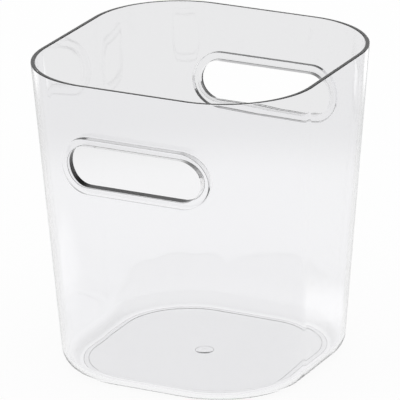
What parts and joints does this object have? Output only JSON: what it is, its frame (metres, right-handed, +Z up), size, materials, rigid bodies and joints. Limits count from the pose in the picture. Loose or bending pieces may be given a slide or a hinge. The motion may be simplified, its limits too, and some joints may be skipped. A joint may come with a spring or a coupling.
{
  "type": "storage bin",
  "caption": "Clear plastic storage bin with an open top, drafted walls, round corners and collared hand holes in opposite walls.",
  "frame": {"origin": "centre of the foot ring, on the surface that the bin stands on", "axes": "+Z up, out of the open top; the hand holes face -Y (front) and +Y (back); +X is to the right of someone who faces the front"},
  "size_m": [0.13, 0.1332, 0.14],
  "materials": {
    "clear_plastic": "clear, polished"
  },
  "bodies": {
    "root": {"bin": "clear_plastic"}
  },
  "joints": []
}
